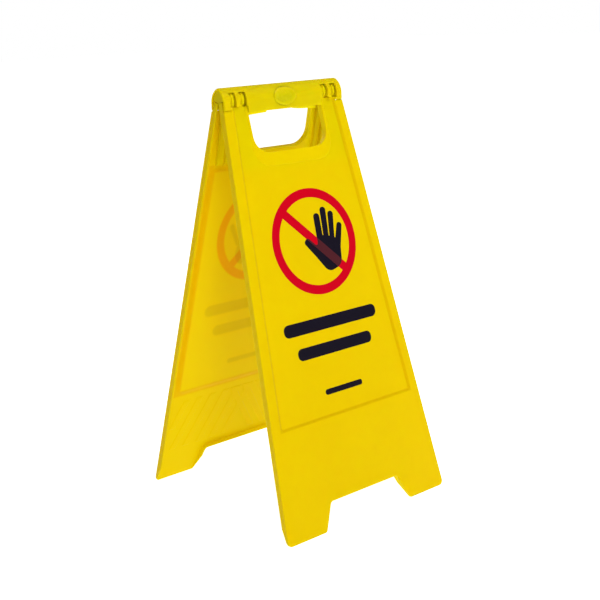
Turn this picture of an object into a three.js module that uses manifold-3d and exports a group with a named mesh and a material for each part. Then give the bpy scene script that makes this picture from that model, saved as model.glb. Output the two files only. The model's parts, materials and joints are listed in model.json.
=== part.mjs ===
// A folding A-frame floor barricade: two moulded leaves hinged inside a hollow carry bar.
// Units are millimetres, +Z is up and the origin is on the floor midway between the feet.
// +X runs along the carry bar, and the front leaf faces -Y.
import * as THREE from 'three';
import { mergeVertices } from 'three/addons/utils/BufferGeometryUtils.js';
import Module from 'manifold-3d';

const wasm = await Module();
wasm.setup();

// ---- driving dimensions -------------------------------------------------------------------

const LEAF_LENGTH = 603; // hinge axis to the foot's outer edge, measured down the leaf
const LEAN_DEG = 14.67; // each leaf's angle from upright when the barricade stands open
const HALF_WIDTH_AXIS = 105; // half the leaf's width level with the hinge axis
const HALF_WIDTH_FOOT = 150; // half the leaf's width at the foot
const SKIN_OUT = 10.8; // outer skin, from the leaf's hinge plane
const FLANGE_EDGE = 0.5; // free edge of the side walls, from the hinge plane
const SKIN = 3.2; // moulded skin thickness
const WALL = 2.4; // thickness of the side walls around the leaf's edges
const OVER = 6; // how far a cutting solid runs past what it cuts
const OVERLAP = 0.5; // how far a joined solid runs into its neighbour

const PANEL = { inset: 14.2, bottom: 453, depth: 1.8, slope: 3.2, radius: 8 };
const PLATEAU = { inset: 9.8, top: 95, bottom: 458, slope: 8, radius: 16 };
const GRIP_HOLE = { half: 65.5, bottom: 77.6, radius: 24 };
const GRIP_PAD = { half: 70, bottom: 97, radius: 27, proud: 0.8 };
const HORN = { innerTop: 11.5, outerTop: 15.96, stepAt: 92.5 };
const NOTCH = { top: 564.8, halfTop: 63.75, halfFloor: 81, radius: 6 };
const FOOT = { outerRadius: 7, innerRadius: 5, taper: 26.5 };
const STRIPE = { count: 6, pitch: 24.4, width: 12.2, slant: 0.558, top: 470, bottom: 552, proud: 0.6 };
const STRIPE_FIRST = { edge: -142.4, at: 550, bottom: 515 }; // the band nearest the side
const RIB = { at: [79.5, 93], thick: 2, top: 17, bottom: 97, inner: 2.4 };
const TONGUE = { top: 3, bottom: 22, outer: 8.5 };

const KNUCKLE = { at: [-92.5, -75.3, 70.7, 88], thick: 4, radius: 11.7, mouth: 5.2 };
const KNUCKLE_NECK = { inner: 2, bottom: 26 };
const PIN_RADIUS = 3;
const BORE_RADIUS = 3.3;
const PIN_SPAN = [61, 100.9];

const BAR = { half: 15.3, top: 17.7, shoulder: -2.9, tip: 5, halfLength: 106, wall: 2.5 };
const BAR_EDGE = { grip: -17.1, inner: -8, outer: -12.3, gripHalf: 64.9 };
const WINDOWS = [[67, 79], [84.5, 96]];
const WINDOW_TOP = 11;
const WEBS = [{ span: [80.3, 82.8], bottom: -7 }, { span: [97.3, 99.8], bottom: -12 }];
const GRIP_WEB = [62.4, 64.9];
const CAP = { from: 101.5, to: 104, edgeBottom: 0.9, middleBottom: -2.2 };
const GAP = 0.3; // clearance between pieces that touch
const DISC = { halfWidth: 19.8, halfHeight: 12.7, centre: 0.25, proud: 0.8, seat: 1.5 };
const TRAY = { half: 62, top: -13.9, bottom: -16.9 };
const TRAY_PAD = { from: 27, to: 61, high: -20, low: -21.6, half: 7 };

const LEAN = THREE.MathUtils.degToRad(LEAN_DEG);
const AXIS_HEIGHT = LEAF_LENGTH * Math.cos(LEAN) - SKIN_OUT * Math.sin(LEAN);

const YELLOW = 0xe8ca06;
const YELLOW_BAR = 0xe6cd14;
const YELLOW_SHADE = 0xd2ae05;

// ---- outlines -----------------------------------------------------------------------------

// A closed outline through corners [x, y, radius], each corner rounded by a true arc.
function roundedShape(corners) {
  const shape = new THREE.Shape();
  const count = corners.length;
  corners.forEach(([x, y, radius = 0], index) => {
    const corner = new THREE.Vector2(x, y);
    const before = new THREE.Vector2(...corners[(index + count - 1) % count]).sub(corner).normalize();
    const after = new THREE.Vector2(...corners[(index + 1) % count]).sub(corner).normalize();
    if (radius === 0) {
      if (index === 0) shape.moveTo(x, y);
      else shape.lineTo(x, y);
      return;
    }
    const halfAngle = Math.acos(THREE.MathUtils.clamp(before.dot(after), -1, 1)) / 2;
    const start = corner.clone().addScaledVector(before, radius / Math.tan(halfAngle));
    const end = corner.clone().addScaledVector(after, radius / Math.tan(halfAngle));
    const inward = before.clone().add(after).normalize();
    const centre = corner.clone().addScaledVector(inward, radius / Math.sin(halfAngle));
    if (index === 0) shape.moveTo(start.x, start.y);
    else shape.lineTo(start.x, start.y);
    const from = Math.atan2(start.y - centre.y, start.x - centre.x);
    const to = Math.atan2(end.y - centre.y, end.x - centre.x);
    shape.absarc(centre.x, centre.y, radius, from, to, before.cross(after) > 0);
  });
  shape.closePath();
  return shape;
}

// Corners [u, v, radius] of the right-hand half, from top to bottom, become a mirrored outline.
// u runs across the leaf and v down it from the hinge axis.
function mirroredOutline(rightHalf) {
  const right = rightHalf.map(([u, v, radius]) => [u, -v, radius]);
  const left = right.map(([x, y, radius]) => [-x, y, radius]).reverse();
  return roundedShape([...right, ...left]);
}

function halfWidth(v) {
  return HALF_WIDTH_AXIS + ((HALF_WIDTH_FOOT - HALF_WIDTH_AXIS) * v) / LEAF_LENGTH;
}

function notchHalf(v, inset) {
  const slope = (NOTCH.halfFloor - NOTCH.halfTop) / (LEAF_LENGTH - NOTCH.top);
  return NOTCH.halfTop + slope * (v - NOTCH.top) + inset * Math.hypot(1, slope);
}

function leafOutline() {
  return mirroredOutline([
    [GRIP_HOLE.half, GRIP_HOLE.bottom, GRIP_HOLE.radius],
    [GRIP_HOLE.half, HORN.innerTop, 1],
    [HORN.stepAt, HORN.innerTop, 0.8],
    [HORN.stepAt, HORN.outerTop, 0.8],
    [halfWidth(HORN.outerTop), HORN.outerTop, 0.8],
    [HALF_WIDTH_FOOT, LEAF_LENGTH, FOOT.outerRadius],
    [NOTCH.halfFloor, LEAF_LENGTH, FOOT.innerRadius],
    [NOTCH.halfTop, NOTCH.top, NOTCH.radius],
  ]);
}

// The hollow behind the skin, one wall thickness inside the outline and open at both ends.
function hollowOutline() {
  const low = LEAF_LENGTH + OVER;
  return mirroredOutline([
    [GRIP_HOLE.half + WALL, GRIP_HOLE.bottom + WALL, GRIP_HOLE.radius + WALL],
    [GRIP_HOLE.half + WALL, 0, 0],
    [halfWidth(0) - WALL, 0, 0],
    [halfWidth(low) - WALL, low, 0],
    [notchHalf(low, WALL), low, 0],
    [notchHalf(NOTCH.top - WALL, WALL), NOTCH.top - WALL, NOTCH.radius + WALL],
  ]);
}

function insetPanelOutline(inset, top, bottom, topRadius, bottomRadius) {
  return mirroredOutline([
    [halfWidth(top) - inset, top, topRadius],
    [halfWidth(bottom) - inset, bottom, bottomRadius],
  ]);
}

// The bar's pointed arch, offset outwards by grow, down to the height bottom.
function barProfile(grow, bottom) {
  const rise = BAR.top - BAR.tip - BAR.shoulder;
  const flank = (BAR.half ** 2 + rise ** 2 - BAR.tip ** 2) / (2 * (BAR.half - BAR.tip));
  const offset = flank - BAR.half;
  const lean = Math.atan2(rise, offset);
  const half = BAR.half + grow;
  const shape = new THREE.Shape();
  shape.moveTo(-half, bottom);
  shape.lineTo(half, bottom);
  shape.lineTo(half, BAR.shoulder);
  shape.absarc(-offset, BAR.shoulder, flank + grow, 0, lean, false);
  shape.absarc(0, BAR.top - BAR.tip, BAR.tip + grow, lean, Math.PI - lean, false);
  shape.absarc(offset, BAR.shoulder, flank + grow, Math.PI - lean, Math.PI, false);
  shape.closePath();
  return shape;
}

// ---- solids -------------------------------------------------------------------------------

function solid(geometry) {
  const bare = geometry.index ? geometry.toNonIndexed() : geometry.clone();
  bare.deleteAttribute('normal');
  bare.deleteAttribute('uv');
  const merged = mergeVertices(bare, 1e-4);
  const mesh = new wasm.Mesh({
    numProp: 3,
    vertProperties: new Float32Array(merged.attributes.position.array),
    triVerts: new Uint32Array(merged.index.array),
  });
  return new wasm.Manifold(mesh);
}

function geometryOf(shapeSolid) {
  const mesh = shapeSolid.getMesh();
  const geometry = new THREE.BufferGeometry();
  geometry.setAttribute('position', new THREE.BufferAttribute(new Float32Array(mesh.vertProperties), 3));
  geometry.setIndex(new THREE.BufferAttribute(new Uint32Array(mesh.triVerts), 1));
  geometry.computeVertexNormals();
  return geometry;
}

const AXIS_X = new THREE.Vector3(1, 0, 0);
const AXIS_Y = new THREE.Vector3(0, 1, 0);
const AXIS_Z = new THREE.Vector3(0, 0, 1);
const FACING_FRONT = new THREE.Matrix4().makeBasis(AXIS_X, AXIS_Z, AXIS_Y.clone().negate());

// A leaf outline made solid between two distances from the hinge plane.
function slab(shape, inner, outer) {
  const depth = outer - inner;
  const geometry = new THREE.ExtrudeGeometry(shape, { depth, bevelEnabled: false, curveSegments: 6 });
  geometry.applyMatrix4(FACING_FRONT);
  geometry.translate(0, -inner, 0);
  return solid(geometry);
}

// A slab whose rim slopes in on both faces; the full outline is reached rise above each face.
function slopedSlab(shape, inner, outer, rise, slope) {
  const geometry = new THREE.ExtrudeGeometry(shape, {
    depth: outer - inner - 2 * rise,
    bevelEnabled: true,
    bevelThickness: rise,
    bevelSize: slope,
    bevelOffset: -slope,
    bevelSegments: 1,
    curveSegments: 6,
  });
  geometry.applyMatrix4(FACING_FRONT);
  geometry.translate(0, -inner - rise, 0);
  return solid(geometry);
}

// A section drawn in the YZ plane, made solid from one X to another.
function alongX(shape, from, to, curveSegments = 6) {
  const geometry = new THREE.ExtrudeGeometry(shape, { depth: to - from, bevelEnabled: false, curveSegments });
  geometry.applyMatrix4(new THREE.Matrix4().makeBasis(AXIS_Y, AXIS_Z, AXIS_X));
  geometry.translate(from, 0, 0);
  return solid(geometry);
}

function block(low, high) {
  const size = high.map((value, index) => value - low[index]);
  const geometry = new THREE.BoxGeometry(...size);
  geometry.translate(...low.map((value, index) => value + size[index] / 2));
  return solid(geometry);
}

function rodAlongX(radius, from, to, sides = 24) {
  const geometry = new THREE.CylinderGeometry(radius, radius, to - from, sides);
  geometry.rotateZ(Math.PI / 2);
  geometry.translate((from + to) / 2, 0, 0);
  return solid(geometry);
}

function polygon(points) {
  return roundedShape(points.map(([x, y]) => [x, y, 0]));
}

// A span and its mirror image, each with its lower end first.
function bothSides([from, to]) {
  return [[from, to], [-to, -from]];
}

// ---- the leaf -----------------------------------------------------------------------------

// Corners [u, v] of a right-hand shape, or of its mirror image where side is -1.
function sidePolygon(corners, side) {
  const placed = corners.map(([u, v]) => [side * u, -v]);
  return polygon(side > 0 ? placed : placed.reverse());
}

// A raised diagonal band on the inside of the leaf, above the foot notch.
function stripe(index, side) {
  const low = index === 0 ? STRIPE_FIRST.bottom : STRIPE.bottom;
  const edge = (v) => STRIPE_FIRST.edge + STRIPE.pitch * index + STRIPE.slant * (STRIPE_FIRST.at - v);
  const outline = sidePolygon([
    [edge(low) - STRIPE.width, low],
    [edge(low), low],
    [edge(STRIPE.top), STRIPE.top],
    [edge(STRIPE.top) - STRIPE.width, STRIPE.top],
  ], side);
  const inside = SKIN_OUT - SKIN;
  return slab(outline, inside - STRIPE.proud, inside + OVERLAP);
}

// A C-shaped knuckle that clips round the hinge pin, with a neck down to the skin.
function knuckle(at) {
  const from = at - KNUCKLE.thick / 2;
  const to = at + KNUCKLE.thick / 2;
  const outer = SKIN_OUT - SKIN + OVERLAP;
  const neck = polygon([[-outer, -KNUCKLE_NECK.bottom], [-KNUCKLE_NECK.inner, -KNUCKLE_NECK.bottom],
    [-KNUCKLE_NECK.inner, 0], [-outer, 0]]);
  const half = KNUCKLE.mouth / 2;
  return rodAlongX(KNUCKLE.radius, from, to, 32)
    .add(alongX(neck, from, to))
    .subtract(rodAlongX(BORE_RADIUS, from - 1, to + 1))
    .subtract(block([from - 1, -half, 0], [to + 1, half, KNUCKLE.radius + 1]));
}

// The edge wall goes on up inside the bar's open end as a narrower tongue.
function tongue(side) {
  const outline = sidePolygon([
    [halfWidth(TONGUE.top) - WALL, TONGUE.top],
    [halfWidth(TONGUE.bottom) - WALL, TONGUE.bottom],
    [halfWidth(TONGUE.bottom), TONGUE.bottom],
    [halfWidth(TONGUE.top), TONGUE.top],
  ], side);
  return slab(outline, FLANGE_EDGE, TONGUE.outer);
}

// The four stiffening ribs beside the hand opening.
function ribs() {
  const outer = SKIN_OUT - SKIN + OVERLAP;
  const section = polygon([[-outer, -RIB.bottom], [-RIB.inner, -RIB.bottom + OVER],
    [-RIB.inner, -RIB.top], [-outer, -RIB.top]]);
  return RIB.at
    .flatMap((at) => bothSides([at - RIB.thick / 2, at + RIB.thick / 2]))
    .map(([from, to]) => alongX(section, from, to));
}

// What the foot loses: the walls' taper towards the sole, and the bevel flush with the floor.
function footCut() {
  const start = LEAF_LENGTH - FOOT.taper;
  const end = LEAF_LENGTH + OVER;
  const depthAtSole = SKIN_OUT - WALL;
  const reach = FLANGE_EDGE + ((depthAtSole - FLANGE_EDGE) * (end - start)) / FOOT.taper;
  const taper = polygon([[-FLANGE_EDGE, -start], [1, -start], [1, -end], [-reach, -end]]);
  const cut = alongX(taper, -HALF_WIDTH_FOOT - OVER, HALF_WIDTH_FOOT + OVER);
  const floor = new THREE.BoxGeometry(2 * HALF_WIDTH_FOOT + OVER, 8 * OVER, OVER);
  floor.translate(0, 0, -OVER / 2 - AXIS_HEIGHT);
  floor.rotateX(LEAN);
  const centre = new THREE.Vector3(0, -SKIN_OUT, -LEAF_LENGTH);
  const foot = new THREE.Vector3(0, 0, -AXIS_HEIGHT).applyAxisAngle(AXIS_X, LEAN);
  const slide = centre.sub(foot);
  floor.translate(slide.x, slide.y, slide.z);
  return cut.add(solid(floor));
}

// The whole leaf in its own frame: hinge axis along X at the origin, hanging straight down,
// outer face towards -Y. Both leaves are this one moulding.
function leafGeometry() {
  const inside = SKIN_OUT - SKIN;
  const body = slab(leafOutline(), FLANGE_EDGE, SKIN_OUT);
  const hollow = slab(hollowOutline(), FLANGE_EDGE - 1, inside);
  const recess = slopedSlab(
    insetPanelOutline(PANEL.inset, -4 * OVER, PANEL.bottom, 0, PANEL.radius),
    SKIN_OUT - PANEL.depth, SKIN_OUT + 2 * OVER, PANEL.depth, PANEL.slope);
  const padOuter = SKIN_OUT - PANEL.depth + GRIP_PAD.proud;
  const pad = slopedSlab(
    mirroredOutline([[GRIP_PAD.half, -OVER, 0], [GRIP_PAD.half, GRIP_PAD.bottom, GRIP_PAD.radius]]),
    inside, padOuter, GRIP_PAD.proud, 1.2);
  const plateau = slopedSlab(
    insetPanelOutline(PLATEAU.inset, PLATEAU.top, PLATEAU.bottom, PLATEAU.radius, PLATEAU.radius),
    inside - PANEL.depth, inside + PANEL.depth, PANEL.depth, PLATEAU.slope);
  let leaf = body.subtract(hollow).subtract(recess).add(pad.intersect(body)).add(plateau.subtract(recess));
  for (const side of [-1, 1]) {
    leaf = leaf.add(tongue(side));
    for (let index = 0; index < STRIPE.count; index += 1) leaf = leaf.add(stripe(index, side));
  }
  for (const rib of ribs()) leaf = leaf.add(rib);
  for (const at of KNUCKLE.at) leaf = leaf.add(knuckle(at));
  return geometryOf(leaf.subtract(footCut()));
}

// ---- the carry bar ------------------------------------------------------------------------

// The oval seat of a grip disc, as a solid running out through the bar's wall on one side.
function ovalThrough(side, grow) {
  const oval = new THREE.Shape();
  oval.absellipse(0, DISC.centre, DISC.halfWidth + grow, DISC.halfHeight + grow, 0, 2 * Math.PI, false, 0);
  const depth = 2 * BAR.half;
  const geometry = new THREE.ExtrudeGeometry(oval, { depth, bevelEnabled: false, curveSegments: 16 });
  geometry.applyMatrix4(FACING_FRONT);
  geometry.translate(0, side < 0 ? 0 : depth, 0);
  return solid(geometry);
}

function discSeat(side) {
  const core = alongX(barProfile(-DISC.seat, BAR_EDGE.grip - OVER), -2 * DISC.halfWidth, 2 * DISC.halfWidth);
  return ovalThrough(side, GAP).subtract(core);
}

function discGeometry(side) {
  const span = 2 * DISC.halfWidth;
  const outer = alongX(barProfile(DISC.proud, BAR_EDGE.grip), -span, span, 12);
  const core = alongX(barProfile(GAP - DISC.seat, BAR_EDGE.grip - OVER), -span, span, 12);
  return geometryOf(ovalThrough(side, 0).intersect(outer).subtract(core));
}

function barGeometry() {
  const end = BAR.halfLength;
  let bar = alongX(barProfile(0, BAR_EDGE.grip), -end, end)
    .subtract(alongX(barProfile(-BAR.wall, BAR_EDGE.grip - 1), -end - 1, end + 1));
  const high = BAR.top + 1;
  const trims = [
    ...bothSides([BAR_EDGE.gripHalf, HORN.stepAt]).map((span) => [span, BAR_EDGE.grip - 1, BAR_EDGE.inner]),
    ...bothSides([HORN.stepAt, end + 1]).map((span) => [span, BAR_EDGE.grip - 1, BAR_EDGE.outer]),
    ...WINDOWS.flatMap(bothSides).map((span) => [span, BAR_EDGE.inner, WINDOW_TOP]),
  ];
  for (const [[from, to], low, top] of trims) {
    bar = bar.subtract(block([from, -high, low], [to, high, top]));
  }
  const webs = [
    ...WEBS.flatMap(({ span, bottom }) => bothSides(span).map((side) => [side, bottom])),
    ...bothSides(GRIP_WEB).map((span) => [span, BAR_EDGE.grip]),
  ];
  for (const [[from, to], bottom] of webs) {
    bar = bar.add(alongX(barProfile(OVERLAP - BAR.wall, bottom), from, to));
  }
  for (const [from, to] of bothSides(PIN_SPAN)) bar = bar.subtract(rodAlongX(BORE_RADIUS, from, to));
  return geometryOf(bar.subtract(discSeat(-1)).subtract(discSeat(1)));
}

// An arched plate that closes the bar's end and dips between the two leaves' tongues.
function endCapGeometry([from, to]) {
  const half = BAR.half - BAR.wall;
  const below = polygon([[-half, CAP.edgeBottom], [-half, BAR_EDGE.grip - OVER], [half, BAR_EDGE.grip - OVER],
    [half, CAP.edgeBottom], [0, CAP.middleBottom]]);
  const arch = alongX(barProfile(-BAR.wall - GAP, BAR_EDGE.grip), from, to);
  return geometryOf(arch.subtract(alongX(below, from - 1, to + 1)));
}

// The tray that closes the hand grip from below, with a stepped pad towards each end.
function trayGeometry() {
  const right = [
    [TRAY.half, TRAY.top, 0], [TRAY.half, TRAY.bottom, 0], [TRAY_PAD.to, TRAY.bottom, 0],
    [TRAY_PAD.to, TRAY_PAD.low, 1.2], [TRAY_PAD.from + 2, TRAY_PAD.high, 1.2],
    [TRAY_PAD.from, TRAY.bottom, 0],
  ];
  const left = right.map(([x, z, radius]) => [-x, z, radius]).reverse();
  const depth = 2 * (BAR.half - BAR.wall - GAP);
  const geometry = new THREE.ExtrudeGeometry(roundedShape([...right, ...left]),
    { depth, bevelEnabled: false, curveSegments: 4 });
  geometry.applyMatrix4(FACING_FRONT);
  geometry.translate(0, depth / 2, 0);
  let tray = solid(geometry);
  for (const [near, far] of bothSides([TRAY_PAD.half, depth])) {
    tray = tray.subtract(block([-TRAY.half - 1, near, TRAY_PAD.low - 1], [TRAY.half + 1, far, TRAY.bottom]));
  }
  return geometryOf(tray);
}

// ---- assembly -----------------------------------------------------------------------------

function piece(name, geometry, color, roughness = 0.42) {
  const material = new THREE.MeshStandardMaterial({ color, roughness, metalness: 0 });
  const mesh = new THREE.Mesh(geometry, material);
  mesh.name = name;
  return mesh;
}

function leafAssembly(name, turn) {
  const lean = new THREE.Group();
  lean.rotation.x = -LEAN;
  lean.add(piece(name, leafGeometry(), YELLOW));
  const facing = new THREE.Group();
  facing.rotation.z = turn;
  facing.add(lean);
  return facing;
}

function barricade() {
  const atAxis = new THREE.Group();
  atAxis.position.z = AXIS_HEIGHT;
  atAxis.add(leafAssembly('front_leaf', 0));
  atAxis.add(leafAssembly('rear_leaf', Math.PI));
  atAxis.add(piece('carry_bar', barGeometry(), YELLOW_BAR));
  atAxis.add(piece('grip_tray', trayGeometry(), YELLOW_SHADE));
  atAxis.add(piece('front_grip_disc', discGeometry(-1), YELLOW_BAR));
  atAxis.add(piece('rear_grip_disc', discGeometry(1), YELLOW_BAR));
  const [rightCap, leftCap] = bothSides([CAP.from, CAP.to]);
  atAxis.add(piece('right_end_cap', endCapGeometry(rightCap), YELLOW_SHADE));
  atAxis.add(piece('left_end_cap', endCapGeometry(leftCap), YELLOW_SHADE));
  const [rightPin, leftPin] = bothSides([PIN_SPAN[0] + GAP, PIN_SPAN[1] - GAP]);
  atAxis.add(piece('right_hinge_pin', geometryOf(rodAlongX(PIN_RADIUS, ...rightPin)), YELLOW_SHADE));
  atAxis.add(piece('left_hinge_pin', geometryOf(rodAlongX(PIN_RADIUS, ...leftPin)), YELLOW_SHADE));
  const root = new THREE.Group();
  root.add(atAxis);
  return root;
}

export default barricade();
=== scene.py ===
import json
import math

import bmesh
import bpy
from mathutils import Matrix, Vector

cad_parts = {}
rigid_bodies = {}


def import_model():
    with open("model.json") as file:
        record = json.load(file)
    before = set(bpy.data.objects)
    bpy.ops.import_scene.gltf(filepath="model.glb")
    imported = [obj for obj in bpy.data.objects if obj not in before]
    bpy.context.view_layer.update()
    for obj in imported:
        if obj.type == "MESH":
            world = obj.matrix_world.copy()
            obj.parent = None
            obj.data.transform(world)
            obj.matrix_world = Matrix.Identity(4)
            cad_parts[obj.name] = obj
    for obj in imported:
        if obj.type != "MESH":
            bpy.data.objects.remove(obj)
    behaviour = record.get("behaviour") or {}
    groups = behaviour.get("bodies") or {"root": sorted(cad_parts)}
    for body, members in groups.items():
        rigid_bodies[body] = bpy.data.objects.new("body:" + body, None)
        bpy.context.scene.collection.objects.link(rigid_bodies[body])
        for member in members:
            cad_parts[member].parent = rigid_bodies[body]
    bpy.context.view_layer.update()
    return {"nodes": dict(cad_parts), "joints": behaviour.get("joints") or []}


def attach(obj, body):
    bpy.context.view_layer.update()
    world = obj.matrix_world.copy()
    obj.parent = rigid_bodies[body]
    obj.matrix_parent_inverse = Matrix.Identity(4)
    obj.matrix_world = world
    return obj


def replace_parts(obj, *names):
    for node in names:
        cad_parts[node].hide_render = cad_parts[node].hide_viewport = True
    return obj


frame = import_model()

# A folding A-frame floor barricade in translucent yellow plastic, with a generic sign printed on each leaf.
# Lengths are in metres. A leaf's own frame has its hinge axis along X at the origin and hangs straight
# down, with its outer face towards -Y; u is measured across it and v down it from the hinge axis.

MM = 0.001
JOINTS = {joint["child"]: joint for joint in frame["joints"]}
HINGE = Vector(JOINTS["front_leaf"]["pos_m"])
LEAN = math.radians(JOINTS["front_leaf"]["range_deg"][1])
TILT = Matrix.Rotation(-LEAN, 4, "X")
BAR_PLACE = Matrix.Translation(HINGE)
LEAF_PLACES = {
    "front_leaf": BAR_PLACE @ TILT,
    "rear_leaf": BAR_PLACE @ Matrix.Rotation(math.pi, 4, "Z") @ TILT,
}

STUDIO = {"surround": 0.21, "floor": 0.52}  # strengths as light; the camera sees both as white
LIGHTS = {  # the place, size and power of each soft lamp
    "key": ((-0.9, -2.35, 0.9), 1.0, 17),
    "top": ((0.6, -1.0, 2.4), 1.0, 25),
    "back": ((0.3, 2.3, 0.9), 1.2, 21),
}
LIGHT_AIM = (0, 0, 0.3)
CAMERA = {"place": (-1.0089, -1.2497, 0.6905), "yaw": 39.533, "pitch": 14.164, "roll": -2.526, "lens": 68.07}

# ---- looks --------------------------------------------------------------------------------------

SOAK = {"Subsurface Weight": 0.85, "Subsurface Radius": (1.0, 0.8, 0.05), "Subsurface Scale": 0.008}
GLOSS_TINT = (1.0, 0.85, 0.05, 1)
INK_GLOSS = 0.06
GRAIN = {  # the scale, detail and roughness of each noise
    "cloud": (7.0, 4.0, 0.5), "mottle": (90.0, 5.0, 0.6), "scuff": (260.0, 6.0, 0.7),
    "fine": (2600.0, 2.0, 0.5), "sink": (26.0, 2.0, 0.5),
    "ink_cover": (300.0, 5.0, 0.65), "ink_streak": (1400.0, 3.0, 0.5),
}
# SHARE's inner is how far the inner faces' painted light goes.
SHARE = {"cloud": 0.5, "mottle": 0.12, "inner": 0.85, "ink": 0.25}  # how far each change of colour goes
HEIGHT = {"fine": 0.00005, "sink": 0.0008, "ink": 0.00005}  # of the bumps, in metres
# The inner faces get painted light, lighter as if lit through the plastic; INNER_FROM says where it fades in.
INNER_FROM = {"skin": (1.2, 0.6), "wall": (0.4, 0.8), "bar": (1.2, 2.0)}  # where the inner colour fades in
OUTER_FROM = (0.6, 0.3)  # how far below the print's face the outer side's shade fades in
# Painted shade on the inner faces, where the print and the thicker plateau band would hold back light coming
# through the plastic.
PAINTED_SHOW_THROUGH = {  # how soft the edge is, in millimetres, and the shade that the colour is multiplied by
    "ring": (2.0, (0.98, 0.70, 0.2, 1)),
    "black": (2.5, (0.85, 0.87, 0.6, 1)),
    "thick_band": (2.0, (0.95, 0.84, 0.6, 1)),
}
# The thick band's painted shade runs this far past the slope.
THICK_BAND_SPARE = 1  # how far the thick band's shade runs past the slope
# Painted shade on the slope round the print's recess on the outer face, and how soft its edges are.
RECESS_PAINTED_SHADE = (0.90, 0.87, 0.7, 1)
RECESS_SOFT = (1.0, -1.5)

# ---- sizes, in millimetres ----------------------------------------------------------------------

LENGTH = 603  # hinge axis to the foot's outer edge, down the leaf
HALF_AXIS = 105  # half the leaf's width level with the hinge axis
HALF_FOOT = 150
OUTER = 10.8  # outer skin, from the leaf's hinge plane
FLANGE = 0.5  # free edge of the side walls
SKIN = 3.2
WALL = 2.4
INSIDE = OUTER - SKIN
OVER = 6  # how far a cutting solid runs past what it cuts
ROOT = 0.8  # how far a low feature reaches into the skin it stands on

PANEL = {"inset": 14.2, "bottom": 453, "depth": 1.8, "slope": 4.8, "radius": 8}
PLATEAU = {"inset": 9.8, "top": 95, "bottom": 458, "slope": 8, "radius": 16}
HOLE = {"half": 65.5, "bottom": 77.6, "radius": 24}
PAD = {"half": 70, "bottom": 97, "radius": 27, "proud": 0.8, "slope": 1.4, "rim": 0.7}
HORN = {"inner_top": 11.5, "outer_top": 15.96, "step_at": 92.5, "radius": 1.2, "outer_radius": 1.4}
NOTCH = {"top": 564.8, "half_top": 63.75, "half_floor": 81, "radius": 6}
FOOT = {"outer_radius": 7, "inner_radius": 5, "taper": 26.5}
STRIPE = {"count": 6, "pitch": 24.4, "width": 12.2, "slant": 0.558, "top": 470, "bottom": 552, "proud": 0.6,
          "slope": 0.7}
STRIPE_FIRST = {"edge": -142.4, "at": 550, "bottom": 515}
RIB = {"at": (79.5, 93), "thick": 2, "top": 17, "bottom": 97, "inner": 2.4, "edge": 0.3}
TONGUE = {"top": 3, "bottom": 22, "outer": 8.5, "edge": 0.4}
KNUCKLE = {"at": (-92.5, -75.3, 70.7, 88), "thick": 4, "radius": 11.7, "mouth": 5.2, "neck_inner": 2,
           "neck_bottom": 26, "edge": 0.5}
BORE = 3.3

BAR = {"half": 15.3, "top": 17.7, "shoulder": -2.9, "tip": 5, "end": 106, "wall": 2.5}
BAR_EDGE = {"grip": -17.1, "inner": -8, "outer": -12.3, "grip_half": 64.9}
CAP_FACE = 101  # the bar's ends are hollow from here out, round the end caps
WINDOWS = ((67, 79), (84.5, 96))
WINDOW_TOP = 11
WINDOW_RADIUS = 1.2
WEBS = (((80.3, 82.8), -7), ((97.3, 99.8), -12))  # each with the height of its lower edge
GRIP_WEB = (62.4, 64.9)
PIN_SPAN = (61, 100.9)
DISC = {"half_width": 19.8, "half_height": 12.7, "centre": 0.25, "proud": 0.8, "seat": 1.5, "gap": 0.3,
        "clear": 0.2}
DISH = {"flat": 0.55, "rim": 0.93, "floor": -0.2, "ridge": 0.16, "pitch": 2.8, "fade": 0.08, "drop": 0.5}


def half_width(v):
    return HALF_AXIS + (HALF_FOOT - HALF_AXIS) * v / LENGTH


def flank_arc():
    """The radius of the bar's flanks, how far past the middle their centres are, and where they end."""
    rise = BAR["top"] - BAR["tip"] - BAR["shoulder"]
    radius = (BAR["half"] ** 2 + rise ** 2 - BAR["tip"] ** 2) / (2 * (BAR["half"] - BAR["tip"]))
    return radius, radius - BAR["half"], math.atan2(rise, radius - BAR["half"])


# ---- the print, in millimetres on the leaf ------------------------------------------------------

PRINT_FACE = 9.0  # the recessed panel's face, from the leaf's hinge plane
INK = 0.12
INK_RISE = {"black": 1, "ring": 2, "overprint": 2.2}  # in thicknesses of ink above the face
RING = {"u": 3.5, "v": 209, "outer": 75, "inner": 62, "slash": 6.5, "sides": 160, "moon_steps": 60}
TEXT_BAR_ROUND = 2.2  # a bar's height over its corner radius
TEXT_BARS = [{"u": (-83, 88), "v": (314, 332)}, {"u": (-67, 70), "v": (350, 367)},
             {"u": (-33, 36), "v": (414, 422)}]
HAND = [
    (7.5, 214, 3), (8.2, 200, 0.5), (9.4, 171, 4.9), (20.4, 171, 4.9), (19.3, 203, 0.6),
    (20.7, 203, 0.6), (23.2, 163, 5), (34, 164, 5), (30.2, 205, 0.6), (31.6, 205.5, 0.6),
    (36.4, 170, 4.9), (46.6, 172, 4.9), (40, 208.5, 0.6), (41.4, 210, 0.6), (50, 188, 4),
    (58.6, 191, 4), (48, 224, 10), (44, 249, 15), (18, 256, 14), (1, 232, 6),
    (-16.5, 209, 4.4), (-9.3, 201.8, 4.4), (4, 215, 2),
]
HAND_BONES = [
    ((14.5, 177), (13.5, 212), 4), ((28.5, 169), (25, 212), 4.5), ((41, 176), (35, 212), 4),
    ((53, 192), (40, 220), 4), ((-11, 208), (8, 236), 4), ((24, 228), (26, 238), 17),
]
LEAF_FRAME = "leaf_frame"  # the mesh attribute with each vertex's place across, down and out, in millimetres


# ---- nodes --------------------------------------------------------------------------------------

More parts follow.
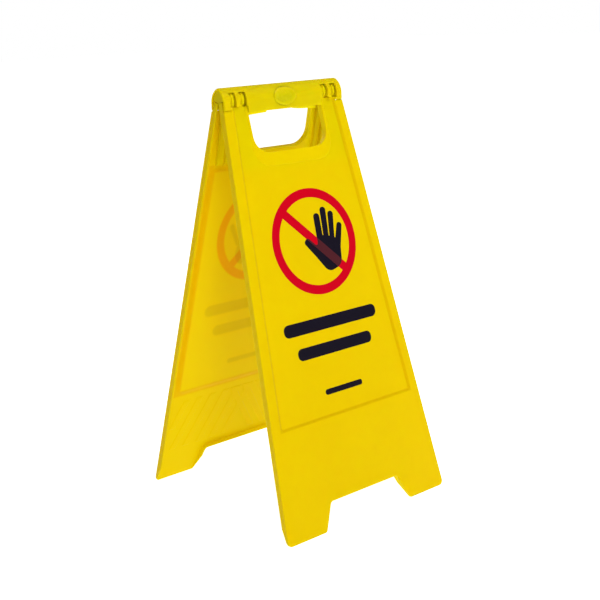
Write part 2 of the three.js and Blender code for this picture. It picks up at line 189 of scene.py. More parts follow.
def fill(tree, node, inputs):
    """Give the node's inputs their values or links."""
    for key, value in inputs.items():
        if isinstance(value, bpy.types.NodeSocket):
            tree.links.new(value, node.inputs[key])
        else:
            node.inputs[key].default_value = value


def put(tree, kind, inputs=None, **settings):
    """One new node with its settings and its input values or links."""
    made = tree.nodes.new(kind)
    for key, value in settings.items():
        setattr(made, key, value)
    fill(tree, made, inputs or {})
    return made


def calc(tree, operation, *values, clamp=False):
    inputs = dict(enumerate(values))
    return put(tree, "ShaderNodeMath", inputs, operation=operation, use_clamp=clamp).outputs[0]


def vector_calc(tree, operation, inputs):
    return put(tree, "ShaderNodeVectorMath", inputs, operation=operation)


def ramp(tree, value, low, high, to_low=0.0, to_high=1.0):
    """A smooth step of value between low and high."""
    inputs = {"Value": value, "From Min": low, "From Max": high, "To Min": to_low, "To Max": to_high}
    return put(tree, "ShaderNodeMapRange", inputs, interpolation_type="SMOOTHSTEP").outputs["Result"]


def noise(tree, name):
    place = put(tree, "ShaderNodeTexCoord").outputs["Object"]
    scale, detail, roughness = GRAIN[name]
    inputs = {"Vector": place, "Scale": scale, "Detail": detail, "Roughness": roughness}
    return put(tree, "ShaderNodeTexNoise", inputs).outputs["Fac"]


def mixed(tree, factor, first, second, blend="MIX"):
    inputs = {0: factor, 6: first, 7: second}
    return put(tree, "ShaderNodeMix", inputs, data_type="RGBA", blend_type=blend).outputs[2]


def capsule(tree, place, start, end, radius):
    """The distance from a line with round ends, over U and V in millimetres."""
    along = Vector((end[0] - start[0], end[1] - start[1], 0))
    from_start = vector_calc(tree, "SUBTRACT", {0: place, 1: (*start, 0)}).outputs[0]
    per_length = {0: from_start, 1: along / max(along.length_squared, 1e-6)}
    share = vector_calc(tree, "DOT_PRODUCT", per_length).outputs["Value"]
    clamped = calc(tree, "ADD", share, 0.0, clamp=True)
    nearest = vector_calc(tree, "SCALE", {0: tuple(along), "Scale": clamped}).outputs[0]
    gap = vector_calc(tree, "DISTANCE", {0: from_start, 1: nearest}).outputs["Value"]
    return calc(tree, "SUBTRACT", gap, radius)


def nearest_of(tree, distances):
    least = distances[0]
    for distance in distances[1:]:
        least = calc(tree, "MINIMUM", least, distance)
    return least


def ring_distance(tree, place):
    """The distance from the printed ring or its slash."""
    middle = (RING["u"], RING["v"])
    band = calc(tree, "ABSOLUTE", calc(tree, "SUBTRACT", capsule(tree, place, middle, middle, 0),
                                       (RING["outer"] + RING["inner"]) / 2))
    reach = RING["inner"] * math.sqrt(0.5)
    slash = capsule(tree, place, [c - reach for c in middle], [c + reach for c in middle], RING["slash"])
    return nearest_of(tree, [calc(tree, "SUBTRACT", band, (RING["outer"] - RING["inner"]) / 2), slash])


def black_distance(tree, place):
    """The distance from the printed hand and bars."""
    shapes = [capsule(tree, place, start, end, radius) for start, end, radius in HAND_BONES]
    for bar in TEXT_BARS:
        (left, right), (high, low) = bar["u"], bar["v"]
        radius = (low - high) / 2
        middle = high + radius
        shapes.append(capsule(tree, place, (left + radius, middle), (right - radius, middle), radius))
    return nearest_of(tree, shapes)


def split_place(tree):
    """The place on the leaf, or the bar, as X (across), Y (down) and Z (out)."""
    where = put(tree, "ShaderNodeAttribute", attribute_name=LEAF_FRAME).outputs["Vector"]
    return put(tree, "ShaderNodeSeparateXYZ", {0: where})


def beyond_edge(tree, split):
    """How far a place lies past the leaf's tapering side, less than zero where it lies within."""
    across = calc(tree, "ABSOLUTE", split.outputs["X"])
    half = calc(tree, "MULTIPLY_ADD", split.outputs["Y"], (HALF_FOOT - HALF_AXIS) / LENGTH, HALF_AXIS)
    return calc(tree, "SUBTRACT", across, half)


def slope_distance(tree, edge, slope, spare=0.0):
    """The distance from a slope that starts at an outline and runs inwards; edge is the distance past it."""
    middle = calc(tree, "ADD", edge, slope / 2)
    return calc(tree, "SUBTRACT", calc(tree, "ABSOLUTE", middle), slope / 2 + spare)


def thick_band_distance(tree, split):
    """The distance from the thicker band where the inner plateau rises, where painted shade stands in for the
    light it lets less of through.
    """
    from_side = calc(tree, "ADD", beyond_edge(tree, split), PLATEAU["inset"])
    from_bottom = calc(tree, "SUBTRACT", split.outputs["Y"], PLATEAU["bottom"])
    from_top = calc(tree, "SUBTRACT", PLATEAU["top"], split.outputs["Y"])
    edge = calc(tree, "MAXIMUM", calc(tree, "MAXIMUM", from_side, from_bottom), from_top)
    return slope_distance(tree, edge, PLATEAU["slope"], THICK_BAND_SPARE)


def recess_slope_distance(tree, split):
    """The distance from the slope round the print's recess, where painted shade goes."""
    from_side = calc(tree, "ADD", beyond_edge(tree, split), PANEL["inset"])
    from_bottom = calc(tree, "SUBTRACT", split.outputs["Y"], PANEL["bottom"])
    return slope_distance(tree, calc(tree, "MAXIMUM", from_side, from_bottom), PANEL["slope"])


def leaf_inside(tree):
    """1 on the leaf's inner faces, 0 on its outer skin and on the outside of its side walls; the painted
    inner light and the painted show-through shade follow it.
    """
    split = split_place(tree)
    start, full = INNER_FROM["skin"]
    below_skin = ramp(tree, split.outputs["Z"], INSIDE + start, INSIDE + full)
    start, full = INNER_FROM["wall"]
    within_walls = ramp(tree, beyond_edge(tree, split), -WALL * start, -WALL * full)
    return calc(tree, "MULTIPLY", below_skin, within_walls)


def bar_inside(tree):
    """1 on the bar's inner faces and webs, where the bar's painted light goes, 0 on its arched outer skin and
    at its open ends.
    """
    split = split_place(tree)
    radius, offset, _ = flank_arc()
    out = calc(tree, "ADD", calc(tree, "ABSOLUTE", split.outputs["Z"]), offset)
    up = calc(tree, "MAXIMUM", calc(tree, "SUBTRACT", -BAR["shoulder"], split.outputs["Y"]), 0.0)
    reach = calc(tree, "SQRT", calc(tree, "ADD", calc(tree, "POWER", out, 2.0), calc(tree, "POWER", up, 2.0)))
    below_skin = ramp(tree, calc(tree, "SUBTRACT", radius, reach), *INNER_FROM["bar"])
    across = calc(tree, "ABSOLUTE", split.outputs["X"])
    return calc(tree, "MULTIPLY", below_skin, ramp(tree, across, CAP_FACE, CAP_FACE - 1))


def shaded(tree, cover, colour, shade):
    """The colour, multiplied by a painted shade as far as cover says."""
    return mixed(tree, cover, colour, mixed(tree, 1.0, colour, shade, "MULTIPLY"))


def painted_show_through(tree, colour):
    """The colour with painted shade: darker where the print and the thick band show through inside, and on
    the recess's slope outside.
    """
    split = split_place(tree)
    inner = leaf_inside(tree)
    flat = put(tree, "ShaderNodeCombineXYZ", {"X": split.outputs["X"], "Y": split.outputs["Y"]}).outputs[0]
    distances = {"ring": ring_distance(tree, flat), "black": black_distance(tree, flat),
                 "thick_band": thick_band_distance(tree, split)}
    for name, distance in distances.items():
        soft, shade = PAINTED_SHOW_THROUGH[name]
        colour = shaded(tree, calc(tree, "MULTIPLY", ramp(tree, distance, soft, -soft), inner), colour, shade)
    # painted shade on the recess's slope outside
    start, full = OUTER_FROM
    outer = ramp(tree, split.outputs["Z"], PRINT_FACE - start, PRINT_FACE - full)
    slope = ramp(tree, recess_slope_distance(tree, split), *RECESS_SOFT)
    return shaded(tree, calc(tree, "MULTIPLY", slope, outer), colour, RECESS_PAINTED_SHADE)


def plastic(name, base, pale, deep, inner, inside, roughness=0.4, gloss=0.09, printed=False):
    """Satin moulded plastic that light soaks through: cloudy colour, fine grain and faint scuffs.

    inside(tree) gives the share of a place that lies on an inner face, which has the colour inner, a painted
    light. printed adds painted shade.
    """
    material = bpy.data.materials.new(name)
    material.use_nodes = True
    tree = material.node_tree
    cloud = ramp(tree, noise(tree, "cloud"), 0.35, 0.65)
    mottle = ramp(tree, noise(tree, "mottle"), 0.3, 0.7)
    colour = mixed(tree, calc(tree, "MULTIPLY", cloud, SHARE["cloud"]), (*base, 1), (*pale, 1))
    colour = mixed(tree, calc(tree, "MULTIPLY", mottle, SHARE["mottle"]), colour, (*deep, 1))
    # painted light: the inner faces lighter, standing in for light soaking through the skin
    colour = mixed(tree, calc(tree, "MULTIPLY", inside(tree), SHARE["inner"]), colour, (*inner, 1))
    # painted shade: the print and the thick band seen through on the inner faces, and the recess's slope
    # outside
    if printed:
        colour = painted_show_through(tree, colour)
    fine = calc(tree, "MULTIPLY", noise(tree, "fine"), HEIGHT["fine"])
    sunk = calc(tree, "MULTIPLY", noise(tree, "sink"), HEIGHT["sink"])
    height = calc(tree, "ADD", fine, sunk)
    bump = put(tree, "ShaderNodeBump", {"Height": height, "Strength": 0.35, "Distance": 1.0})
    fill(tree, tree.nodes["Principled BSDF"], {
        "Base Color": colour, "Normal": bump.outputs["Normal"],
        "Roughness": ramp(tree, noise(tree, "scuff"), 0.3, 0.7, roughness - 0.05, roughness + 0.07),
        "Specular IOR Level": gloss, "Specular Tint": GLOSS_TINT, **SOAK})
    return material


def ink(name, colour, deep, roughness=0.35):
    """Screen-printed ink with slightly uneven cover."""
    material = bpy.data.materials.new(name)
    material.use_nodes = True
    tree = material.node_tree
    cover = calc(tree, "MULTIPLY", ramp(tree, noise(tree, "ink_cover"), 0.35, 0.7), SHARE["ink"])
    streak = noise(tree, "ink_streak")
    bump = put(tree, "ShaderNodeBump", {"Height": streak, "Strength": 0.1, "Distance": HEIGHT["ink"]})
    fill(tree, tree.nodes["Principled BSDF"], {
        "Base Color": mixed(tree, cover, (*colour, 1), (*deep, 1)), "Normal": bump.outputs["Normal"],
        "Roughness": ramp(tree, streak, 0.3, 0.7, roughness - 0.05, roughness + 0.08),
        "Specular IOR Level": INK_GLOSS})
    return material


# ---- outlines -----------------------------------------------------------------------------------

def rounded(corners, segments=8):
    """A closed outline through corners (x, y, radius), each rounded by an arc."""
    points = []
    for index, (x, y, radius) in enumerate(corners):
        corner = Vector((x, y))
        if radius == 0:
            points.append(corner)
            continue
        before = (Vector(corners[index - 1][:2]) - corner).normalized()
        after = (Vector(corners[(index + 1) % len(corners)][:2]) - corner).normalized()
        half = before.angle(after) / 2
        centre = corner + (before + after).normalized() * radius / math.sin(half)
        start = corner + before * radius / math.tan(half) - centre
        end = corner + after * radius / math.tan(half) - centre
        turn = start.angle_signed(end)
        for step in range(segments + 1):
            swung = start.copy()
            swung.rotate(Matrix.Rotation(-turn * step / segments, 2))
            points.append(centre + swung)
    return points


def polygon(*corners, radius=0.0):
    return rounded([(x, y, radius) for x, y in corners])


def mirrored(right_half):
    """A rounded outline from its right half, given from top to bottom."""
    return rounded([*right_half, *[(-x, y, radius) for x, y, radius in reversed(right_half)]])


def flipped(outline, side):
    return [Vector((side * point.x, point.y)) for point in outline]


def oval(x, y, half_width, half_height, count=96):
    angles = [2 * math.pi * step / count for step in range(count)]
    return [Vector((x + half_width * math.cos(a), y + half_height * math.sin(a))) for a in angles]


def grown(outline, by):
    """The outline moved outwards by a distance, or inwards where that is negative."""
    if by == 0:
        return outline
    count = len(outline)
    area = sum(outline[i - 1].cross(outline[i]) for i in range(count))
    moved = []
    for index, point in enumerate(outline):
        before = (point - outline[index - 1]).normalized()
        after = (outline[(index + 1) % count] - point).normalized()
        along = (before + after).normalized()
        across = Vector((along.y, -along.x)) * math.copysign(1, area)
        moved.append(point + across * by / max(0.3, along.dot(after)))
    return moved


# Profiles are lists of (level, growth). A curve between two of them leaves its start along the face
# or along the wall, and a slope is soft at both ends.

def face_first(start, end, steps=4):
    turns = [math.pi / 2 * step / steps for step in range(steps + 1)]
    (level, growth), (end_level, end_growth) = start, end
    return [(level + (end_level - level) * (1 - math.cos(t)), growth + (end_growth - growth) * math.sin(t))
            for t in turns]


def wall_first(start, end, steps=4):
    return list(reversed(face_first(end, start, steps)))


def soft_slope(start, end, steps=6):
    (level, growth), (end_level, end_growth) = start, end
    shares = [step / steps for step in range(steps + 1)]
    return [(level + (end_level - level) * s * s * (3 - 2 * s), growth + (end_growth - growth) * s)
            for s in shares]


# ---- solids -------------------------------------------------------------------------------------

def leafward(u, v, w):
    return (u, -w, -v)


def along_x(y, z, x):
    return (x, y, z)


def along_y(x, z, y):
    return (x, y, z)


def mesh_of(made, name):
    """The bmesh as a mesh."""
    mesh = bpy.data.meshes.new(name)
    made.to_mesh(mesh)
    made.free()
    return mesh


def linked(name, data):
    """A new object in the scene."""
    made = bpy.data.objects.new(name, data)
    bpy.context.scene.collection.objects.link(made)
    return made


def walls(made, loops):
    """Faces between each loop of vertices and the next."""
    for low, high in zip(loops, loops[1:]):
        for index in range(len(low)):
            made.faces.new((low[index - 1], low[index], high[index], high[index - 1]))


def stacked(outline, profile, to_point=leafward):
    """A closed solid: the outline, grown as the profile says, at each of the profile's levels."""
    made = bmesh.new()
    loops = [
        [made.verts.new(to_point(x, y, level)) for x, y in grown(outline, growth)]
        for level, growth in profile
    ]
    walls(made, loops)
    made.faces.new(loops[0])
    made.faces.new(loops[-1])
    bmesh.ops.recalc_face_normals(made, faces=made.faces)
    return mesh_of(made, "solid")


def prism(outline, low, high, to_point=leafward, edge=0.0):
    """A solid of one outline between two levels, its rims rounded by edge."""
    if edge == 0:
        return stacked(outline, [(low, 0), (high, 0)], to_point)
    start = face_first((low, -edge), (low + edge, 0), 3)
    end = wall_first((high - edge, 0), (high, -edge), 3)
    return stacked(outline, [*start, *end], to_point)


def box(low, high):
    (x0, y0, z0), (x1, y1, z1) = low, high
    return prism(polygon((x0, y0), (x1, y0), (x1, y1), (x0, y1)), z0, z1, lambda x, y, z: (x, y, z))


def rod(radius, low, high, count=48, edge=0.0):
    return prism(oval(0, 0, radius, radius, count), low, high, along_x, edge)


def combined(base, tools, operation):
    """The base mesh with all the tools added (UNION), cut away (DIFFERENCE) or kept in common (INTERSECT)."""
    group = bpy.data.collections.new("tools")
    bpy.context.scene.collection.children.link(group)
    for mesh in tools:
        group.objects.link(bpy.data.objects.new("tool", mesh))
    holder = linked("work", base)
    change = holder.modifiers.new("combine", "BOOLEAN")
    change.operation = operation
    change.solver = "MANIFOLD"
    change.operand_type = "COLLECTION"
    change.collection = group
    made = bpy.data.meshes.new_from_object(holder.evaluated_get(bpy.context.evaluated_depsgraph_get()))
    for tool in [*group.objects, holder]:
        bpy.data.objects.remove(tool)
    bpy.data.collections.remove(group)
    return made


def finished(mesh, name, place, body, material, smooth_deg=32):
    """The mesh, built in millimetres in the frame given by place, as a smoothly shaded piece."""
    mesh.name = name
    mesh.materials.clear()
    mesh.materials.append(material)
    kept = mesh.attributes.new(LEAF_FRAME, "FLOAT_VECTOR", "POINT")
    for vertex, value in zip(mesh.vertices, kept.data):
        value.vector = (vertex.co.x, -vertex.co.z, -vertex.co.y)
    mesh.transform(place @ Matrix.Scale(MM, 4))
    mesh.shade_smooth()
    mesh.set_sharp_from_angle(angle=math.radians(smooth_deg))
    piece = linked(name, mesh)
    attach(piece, body)
    normals = piece.modifiers.new("flat_faces", "WEIGHTED_NORMAL")
    normals.weight = 100
    normals.keep_sharp = True
    return piece


# ---- the leaf -----------------------------------------------------------------------------------

def notch_half(v, inset):
    slope = (NOTCH["half_floor"] - NOTCH["half_top"]) / (LENGTH - NOTCH["top"])
    return NOTCH["half_top"] + slope * (v - NOTCH["top"]) + inset * math.hypot(1, slope)


def leaf_outline():
    return mirrored([
        (HOLE["half"], HOLE["bottom"], HOLE["radius"]),
        (HOLE["half"], HORN["inner_top"], HORN["radius"]),
        (HORN["step_at"], HORN["inner_top"], HORN["radius"]),
        (HORN["step_at"], HORN["outer_top"], HORN["radius"]),
        (half_width(HORN["outer_top"]), HORN["outer_top"], HORN["outer_radius"]),
        (HALF_FOOT, LENGTH, FOOT["outer_radius"]),
        (NOTCH["half_floor"], LENGTH, FOOT["inner_radius"]),
        (NOTCH["half_top"], NOTCH["top"], NOTCH["radius"]),
    ])


def hollow_outline():
    """The hollow behind the skin, one wall inside the outline and open at both ends."""
    low = LENGTH + OVER
    return mirrored([
        (HOLE["half"] + WALL, HOLE["bottom"] + WALL, HOLE["radius"] + WALL),
        (HOLE["half"] + WALL, -OVER, 0),
        (half_width(-OVER) - WALL, -OVER, 0),
        (half_width(low) - WALL, low, 0),
        (notch_half(low, WALL), low, 0),
        (notch_half(NOTCH["top"] - WALL, WALL), NOTCH["top"] - WALL, NOTCH["radius"] + WALL),
    ])


def panel_outline(inset, top, bottom, top_radius, bottom_radius):
    return mirrored([
        (half_width(top) - inset, top, top_radius),
        (half_width(bottom) - inset, bottom, bottom_radius),
    ])


def grip_pad():
    """The low collar round the hand opening, its own inner rim rounded."""
    face = OUTER - PANEL["depth"]
    top = face + PAD["proud"]
    rim = PAD["rim"]
    collar = mirrored([(PAD["half"], -OVER, 0), (PAD["half"], PAD["bottom"], PAD["radius"])])
    raised = stacked(collar, [(INSIDE, 0), *soft_slope((face, 0), (top, -PAD["slope"]), 4)])
    within = [(INSIDE - 1, 0), *wall_first((top - rim, 0), (top, -rim)), (top + 1, -rim)]
    return combined(raised, [stacked(leaf_outline(), within)], "INTERSECT")


def plateau():
    """The thicker middle of the leaf, behind the print's recess."""
    radius = PLATEAU["radius"]
    outline = panel_outline(PLATEAU["inset"], PLATEAU["top"], PLATEAU["bottom"], radius, radius)
    rise = soft_slope((INSIDE - PANEL["depth"], -PLATEAU["slope"]), (INSIDE, 0))
    return stacked(outline, [*rise, (INSIDE + 1, 0)])


def stripe(index, side):
    """A raised diagonal band inside the leaf, above the foot notch."""
    low = STRIPE_FIRST["bottom"] if index == 0 else STRIPE["bottom"]
    start = STRIPE_FIRST["edge"] + STRIPE["pitch"] * index

    def edge(v):
        return start + STRIPE["slant"] * (STRIPE_FIRST["at"] - v)

    top, width = STRIPE["top"], STRIPE["width"]
    corners = [(edge(low) - width, low), (edge(low), low), (edge(top), top), (edge(top) - width, top)]
    outline = flipped(polygon(*corners, radius=1.0), side)
    rise = soft_slope((INSIDE - STRIPE["proud"], -STRIPE["slope"]), (INSIDE, 0), 3)
    return stacked(outline, [*rise, (INSIDE + ROOT, 0)])


def tongue(side):
    """The side wall's narrower end, which goes on up inside the bar."""
    top, bottom = TONGUE["top"], TONGUE["bottom"]
    corners = [(half_width(top) - WALL, top), (half_width(bottom) - WALL, bottom),
               (half_width(bottom), bottom), (half_width(top), top)]
    return prism(flipped(polygon(*corners), side), FLANGE, TONGUE["outer"], edge=TONGUE["edge"])


def rib(at):
    """A rib beside the hand opening, wider towards its top."""
    back = -INSIDE - ROOT
    section = polygon((back, -RIB["bottom"]), (-RIB["inner"], -RIB["bottom"] + OVER),
                      (-RIB["inner"], -RIB["top"]), (back, -RIB["top"]))
    return prism(section, at - RIB["thick"] / 2, at + RIB["thick"] / 2, along_x, RIB["edge"])


def knuckle(at):
    """A C-shaped knuckle that clips round the hinge pin, with a neck down to the skin."""
    low = at - KNUCKLE["thick"] / 2
    high = at + KNUCKLE["thick"] / 2
    edge = KNUCKLE["edge"]
    back, front, bottom = -INSIDE - 1, -KNUCKLE["neck_inner"], -KNUCKLE["neck_bottom"]
    neck = prism(polygon((back, bottom), (front, bottom), (front, 0), (back, 0)), low, high, along_x, edge)
    clip = combined(rod(KNUCKLE["radius"], low, high, edge=edge), [neck], "UNION")
    mouth = KNUCKLE["mouth"] / 2
    return combined(clip, [
        rod(BORE, low - 1, high + 1),
        box((low - 1, -mouth, 0), (high + 1, mouth, KNUCKLE["radius"] + 1)),
    ], "DIFFERENCE")


def foot_taper():
    """What the side walls lose towards the sole."""
    start = LENGTH - FOOT["taper"]
    end = LENGTH + OVER
    sole = OUTER - WALL
    reach = FLANGE + (sole - FLANGE) * (end - start) / FOOT["taper"]
    section = polygon((-FLANGE, -start), (1, -start), (1, -end), (-reach, -end))
    return prism(section, -HALF_FOOT - OVER, HALF_FOOT + OVER, along_x)


def floor_cut():
    """The floor as the standing leaf meets it, in the leaf's frame."""
    reach = HALF_FOOT + OVER
    block = box((-reach, -2 * reach, -OVER), (reach, 2 * reach, 0))
    block.transform(Matrix.Rotation(LEAN, 4, "X") @ Matrix.Translation(-HINGE / MM))
    return block


def leaf_mesh():
    edge = 0.8
    lip = 0.5
    body = stacked(leaf_outline(), [
        *face_first((FLANGE, -lip), (FLANGE + lip, 0)), *wall_first((OUTER - edge, 0), (OUTER, -edge))])
    hollow = stacked(hollow_outline(), [
        (-1, lip), *face_first((FLANGE, lip), (FLANGE + lip, 0)),
        *wall_first((INSIDE - edge, 0), (INSIDE, -edge))])
    recess = stacked(
        panel_outline(PANEL["inset"], -4 * OVER, PANEL["bottom"], 0, PANEL["radius"]),
        [*soft_slope((OUTER - PANEL["depth"], -PANEL["slope"]), (OUTER, 0)), (OUTER + OVER, 0)])
    shell = combined(body, [hollow, recess], "DIFFERENCE")
    sides = (-1, 1)
    features = [
        grip_pad(), plateau(), *[tongue(side) for side in sides],
        *[stripe(index, side) for side in sides for index in range(STRIPE["count"])],
        *[rib(side * at) for side in sides for at in RIB["at"]], *[knuckle(at) for at in KNUCKLE["at"]],
    ]
    return combined(combined(shell, features, "UNION"), [foot_taper(), floor_cut()], "DIFFERENCE")


# ---- the bar ------------------------------------------------------------------------------------

def arch(grow, bottom, steps=12):
    """The bar's pointed arch in Y and Z, grown outwards, down to the height bottom."""
    radius, offset, lean = flank_arc()
    arcs = [(-offset, BAR["shoulder"], radius + grow, 0, lean),
            (0, BAR["top"] - BAR["tip"], BAR["tip"] + grow, lean, math.pi - lean),
            (offset, BAR["shoulder"], radius + grow, math.pi - lean, math.pi)]
    points = [Vector((-BAR["half"] - grow, bottom)), Vector((BAR["half"] + grow, bottom))]
    for index, (y, z, size, start, end) in enumerate(arcs):
        for step in range(1 if index else 0, steps + 1):
            angle = start + (end - start) * step / steps
            points.append(Vector((y + size * math.cos(angle), z + size * math.sin(angle))))
    return points


def both_sides(span):
    low, high = span
    return [(low, high), (-high, -low)]


def disc_seat(side):
    """The shallow pocket that a grip disc sits in."""
    reach = 2 * BAR["half"]
    outline = oval(0, DISC["centre"], DISC["half_width"] + DISC["gap"], DISC["half_height"] + DISC["gap"])
    plug = prism(outline, min(0, side * reach), max(0, side * reach), along_y)
    span = 2 * DISC["half_width"]
    core = prism(arch(-DISC["seat"], BAR_EDGE["grip"] - OVER), -span, span, along_x)
    return combined(plug, [core], "DIFFERENCE")


def bar_mesh():
    end = BAR["end"]
    nose = 2.2
    lip = 0.3
    wall = BAR["wall"]
    shell = stacked(arch(0, BAR_EDGE["grip"]), [
        *face_first((-end, -nose), (nose - end, 0), 6),
        *wall_first((end - nose, 0), (end, -nose), 6)], along_x)
    inner = stacked(arch(-wall, BAR_EDGE["grip"] - OVER), [
        (-end - 1, lip), *face_first((-end, lip), (lip - end, 0), 3),
        *wall_first((end - lip, 0), (end, lip), 3), (end + 1, lip)], along_x)
    cuts = [inner, disc_seat(-1), disc_seat(1)]
    low, high = BAR_EDGE["grip"] - 1, BAR["top"] + 1
    steps = [((BAR_EDGE["grip_half"], HORN["step_at"]), BAR_EDGE["inner"]),
             ((HORN["step_at"], end + 1), BAR_EDGE["outer"])]
    for span, top in steps:
        cuts += [box((x0, -high, low), (x1, high, top)) for x0, x1 in both_sides(span)]
    sill = BAR_EDGE["inner"] - 1
    for span in WINDOWS:
        for x0, x1 in both_sides(span):
            top_corners = [(x, WINDOW_TOP, WINDOW_RADIUS) for x in (x1, x0)]
            cuts.append(prism(rounded([(x0, sill, 0), (x1, sill, 0), *top_corners]), -high, high, along_y))
    shell = combined(shell, cuts, "DIFFERENCE")
    overlap = 0.5 - wall
    webs = [prism(arch(overlap, bottom), x0, x1, along_x)
            for span, bottom in (*WEBS, (GRIP_WEB, BAR_EDGE["grip"])) for x0, x1 in both_sides(span)]
    bores = [rod(BORE, x0, x1) for x0, x1 in both_sides(PIN_SPAN)]
    return combined(combined(shell, webs, "UNION"), bores, "DIFFERENCE")


def disc_mesh(side):
    """An oval thumb disc that follows the bar's flank: a raised rim round a ridged dish."""
    rings, count = 56, 168
    radius, offset, _ = flank_arc()
    under = DISC["clear"] - DISC["seat"]

    def surface(x, z, grow):
        rise = max(0.0, z - BAR["shoulder"])
        return Vector((x, side * (math.sqrt((radius + grow) ** 2 - rise ** 2) - offset), z))

    def height(share, x, z):
        rise = min(1.0, max(0.0, (share - DISH["flat"]) / (DISH["rim"] - DISH["flat"])))
        if share > DISH["rim"]:
            rise = 1 - DISH["drop"] * (share - DISH["rim"]) / (1 - DISH["rim"])
        wave = 0.5 + 0.5 * math.cos(2 * math.pi * (x + z) / DISH["pitch"])
        ridges = DISH["ridge"] * wave * min(1.0, max(0.0, (DISH["rim"] - share) / DISH["fade"]))
        return DISH["floor"] + (DISC["proud"] - DISH["floor"]) * rise * rise * (3 - 2 * rise) + ridges

    made = bmesh.new()
    loops = []
    for share in [ring / rings for ring in range(1, rings + 1)]:
        outline = oval(0, DISC["centre"], DISC["half_width"] * share, DISC["half_height"] * share, count)
        loops.append([made.verts.new(surface(x, z, height(share, x, z))) for x, z in outline])
    loops.append([made.verts.new(surface(x, z, under)) for x, z in outline])
    walls(made, loops)
    for loop, growth in ((loops[0], DISH["floor"] + DISH["ridge"]), (loops[-1], under)):
        middle = made.verts.new(surface(0, DISC["centre"], growth))
        for index in range(count):
            made.faces.new((middle, loop[index - 1], loop[index]))
    bmesh.ops.recalc_face_normals(made, faces=made.faces)
    return mesh_of(made, "disc")


def node_mesh(node, place):
    """A copy of the CAD node's own shape, in millimetres in the frame given by place."""
    mesh = frame["nodes"][node].data.copy()
    mesh.transform(Matrix.Scale(1 / MM, 4) @ place.inverted())
    made = bmesh.new()
    made.from_mesh(mesh)
    bmesh.ops.remove_doubles(made, verts=made.verts, dist=0.001)
    bmesh.ops.dissolve_limit(made, angle_limit=math.radians(0.5), verts=made.verts, edges=made.edges)
    made.to_mesh(mesh)
    made.free()
    return mesh


# ---- the print ----------------------------------------------------------------------------------

def film(name, leaf, mesh, material):
    """A film of ink. Light passes it on its way into the skin, so that the skin behind it stays bright."""
    piece = finished(mesh, f"{leaf}_print_{name}", LEAF_PLACES[leaf], leaf, material)
    piece.visible_shadow = False
    piece.visible_diffuse = False


def half_moon(start):
    """One of the two openings that the slash leaves inside the ring."""
    inner = RING["inner"]
    reach = math.asin(RING["slash"] / inner)
    steps = RING["moon_steps"]
    angles = [start + reach + (math.pi - 2 * reach) * step / steps for step in range(steps + 1)]
    return [Vector((RING["u"] + inner * math.cos(a), RING["v"] + inner * math.sin(a))) for a in angles]


def slash_space():
    """The ring's slash alone, taller than any ink, to find where it lies on the hand."""
    turn = Matrix.Rotation(math.pi / 4, 2)
    reach, half = RING["inner"], RING["slash"]
    corners = [(-reach, -half), (reach, -half), (reach, half), (-reach, half)]
    middle = Vector((RING["u"], RING["v"]))
    return prism([middle + turn @ Vector(corner) for corner in corners], PRINT_FACE - 1, PRINT_FACE + 1)


def print_on(leaf, red, dark_red, black):
    low = PRINT_FACE - INK / 2
    tops = {name: PRINT_FACE + rise * INK for name, rise in INK_RISE.items()}
    moons = [prism(half_moon(start), low - 1, PRINT_FACE + 1) for start in (-math.pi * 3 / 4, math.pi / 4)]
    disc = prism(oval(RING["u"], RING["v"], RING["outer"], RING["outer"], RING["sides"]), low, tops["ring"])
    hand = rounded(HAND)
    over = combined(prism(hand, PRINT_FACE, tops["overprint"]), [slash_space()], "INTERSECT")
    film("ring", leaf, combined(disc, moons, "DIFFERENCE"), red)
    film("overprint", leaf, over, dark_red)
    film("hand", leaf, prism(hand, low, tops["black"]), black)
    for index, bar in enumerate(TEXT_BARS):
        (left, right), (high, bottom) = bar["u"], bar["v"]
        radius = (bottom - high) / TEXT_BAR_ROUND
        outline = polygon((left, high), (right, high), (right, bottom), (left, bottom), radius=radius)
        film(f"bar_{index + 1}", leaf, prism(outline, low, tops["black"]), black)


# ---- stage --------------------------------------------------------------------------------------

def make_camera():
    data = bpy.data.cameras.new("camera")
    data.lens = CAMERA["lens"]
    data.clip_start = 0.05
    camera = linked("camera", data)
    turn = Matrix.Rotation(math.radians(-CAMERA["yaw"]), 4, "Z")
    tip = Matrix.Rotation(math.radians(90 - CAMERA["pitch"]), 4, "X")
    roll = Matrix.Rotation(math.radians(CAMERA["roll"]), 4, "Z")
    camera.matrix_world = Matrix.Translation(CAMERA["place"]) @ turn @ tip @ roll
    bpy.context.scene.camera = camera


def area_light(name, place, size, power):
    data = bpy.data.lights.new(name, "AREA")
    data.shape = "DISK"
    data.size = size
    data.energy = power
    light = linked(name, data)
    light.location = place
    light.rotation_euler = (Vector(LIGHT_AIM) - Vector(place)).to_track_quat("-Z", "Y").to_euler()


def white_to_view(tree, strength):
    """A light strength that is white where it is seen directly and has its own value as light."""
    seen = put(tree, "ShaderNodeLightPath").outputs["Is Camera Ray"]
    return calc(tree, "MULTIPLY_ADD", seen, 1 - strength, strength)


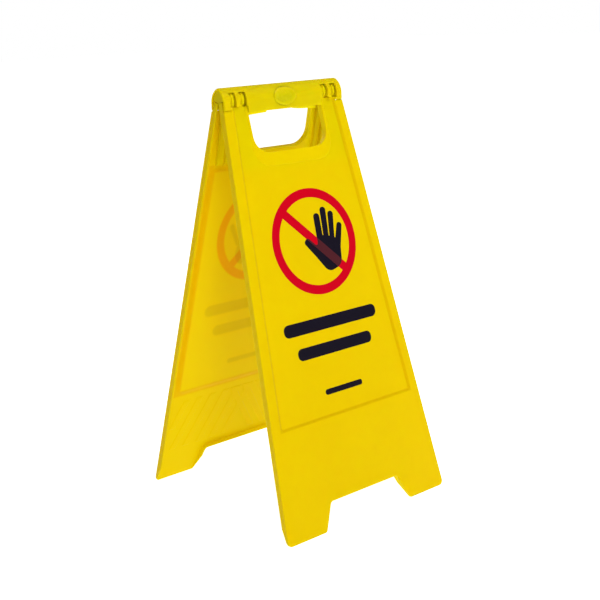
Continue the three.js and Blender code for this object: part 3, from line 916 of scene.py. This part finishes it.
def make_stage():
    world = bpy.data.worlds.new("studio")
    world.use_nodes = True
    tree = world.node_tree
    fill(tree, tree.nodes["Background"], {
        "Color": (1, 1, 1, 1), "Strength": white_to_view(tree, STUDIO["surround"])})
    bpy.context.scene.world = world
    bpy.context.scene.view_settings.view_transform = "Standard"
    for name, (place, size, power) in LIGHTS.items():
        area_light(name, place, size, power)
    made = bmesh.new()
    bmesh.ops.create_grid(made, x_segments=1, y_segments=1, size=20)
    floor = linked("floor", mesh_of(made, "floor"))
    material = bpy.data.materials.new("pale_floor")
    material.use_nodes = True
    tree = material.node_tree
    fill(tree, tree.nodes["Principled BSDF"], {
        "Base Color": (0.86, 0.86, 0.86, 1), "Roughness": 0.9, "Emission Color": (1, 1, 1, 1),
        "Emission Strength": white_to_view(tree, STUDIO["floor"])})
    floor.data.materials.append(material)


# ---- the object ---------------------------------------------------------------------------------

make_camera()
make_stage()

# The leaf's and the bar's fourth colour is painted light on their inner faces; the disc's is its own base
# colour.
YELLOW = plastic("leaf_yellow", (0.79, 0.58, 0.0), (0.82, 0.61, 0.0), (0.73, 0.52, 0.0),
                 (0.88, 0.68, 0.0), leaf_inside, printed=True)
BAR_YELLOW = plastic("bar_yellow", (0.82, 0.59, 0.001), (0.86, 0.64, 0.002), (0.76, 0.53, 0.0),
                     (0.98, 0.82, 0.0), bar_inside)
DISC_YELLOW = plastic("disc_yellow", (0.92, 0.64, 0.002), (0.94, 0.68, 0.003), (0.88, 0.60, 0.001),
                      (0.92, 0.64, 0.002), bar_inside, roughness=0.26, gloss=0.4)
RED = ink("sign_red", (0.64, 0.0, 0.012), (0.56, 0.0, 0.010))
DARK_RED = ink("sign_dark_red", (0.085, 0.016, 0.022), (0.07, 0.013, 0.019))
BLACK = ink("sign_black", (0.008, 0.006, 0.014), (0.014, 0.011, 0.020))

MOULDING = leaf_mesh()
for leaf_name, leaf_place in LEAF_PLACES.items():
    shell = finished(MOULDING.copy(), leaf_name + "_shell", leaf_place, leaf_name, YELLOW)
    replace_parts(shell, leaf_name)
    print_on(leaf_name, RED, DARK_RED, BLACK)

BAR_PIECES = [
    ("carry_bar", bar_mesh(), "bar_plastic"),
    ("front_grip_disc", disc_mesh(-1), "disc_plastic"),
    ("rear_grip_disc", disc_mesh(1), "disc_plastic"),
    ("grip_tray", node_mesh("grip_tray", BAR_PLACE), "bar_plastic"),
]
for side_name in ("right", "left"):
    for part, slot_name in (("end_cap", "bar_plastic"), ("hinge_pin", "pin_plastic")):
        node_name = f"{side_name}_{part}"
        BAR_PIECES.append((node_name, node_mesh(node_name, BAR_PLACE), slot_name))
for node_name, shape, slot_name in BAR_PIECES:
    finish = DISC_YELLOW if slot_name == "disc_plastic" else BAR_YELLOW
    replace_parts(finished(shape, node_name + "_shell", BAR_PLACE, "bar", finish), node_name)
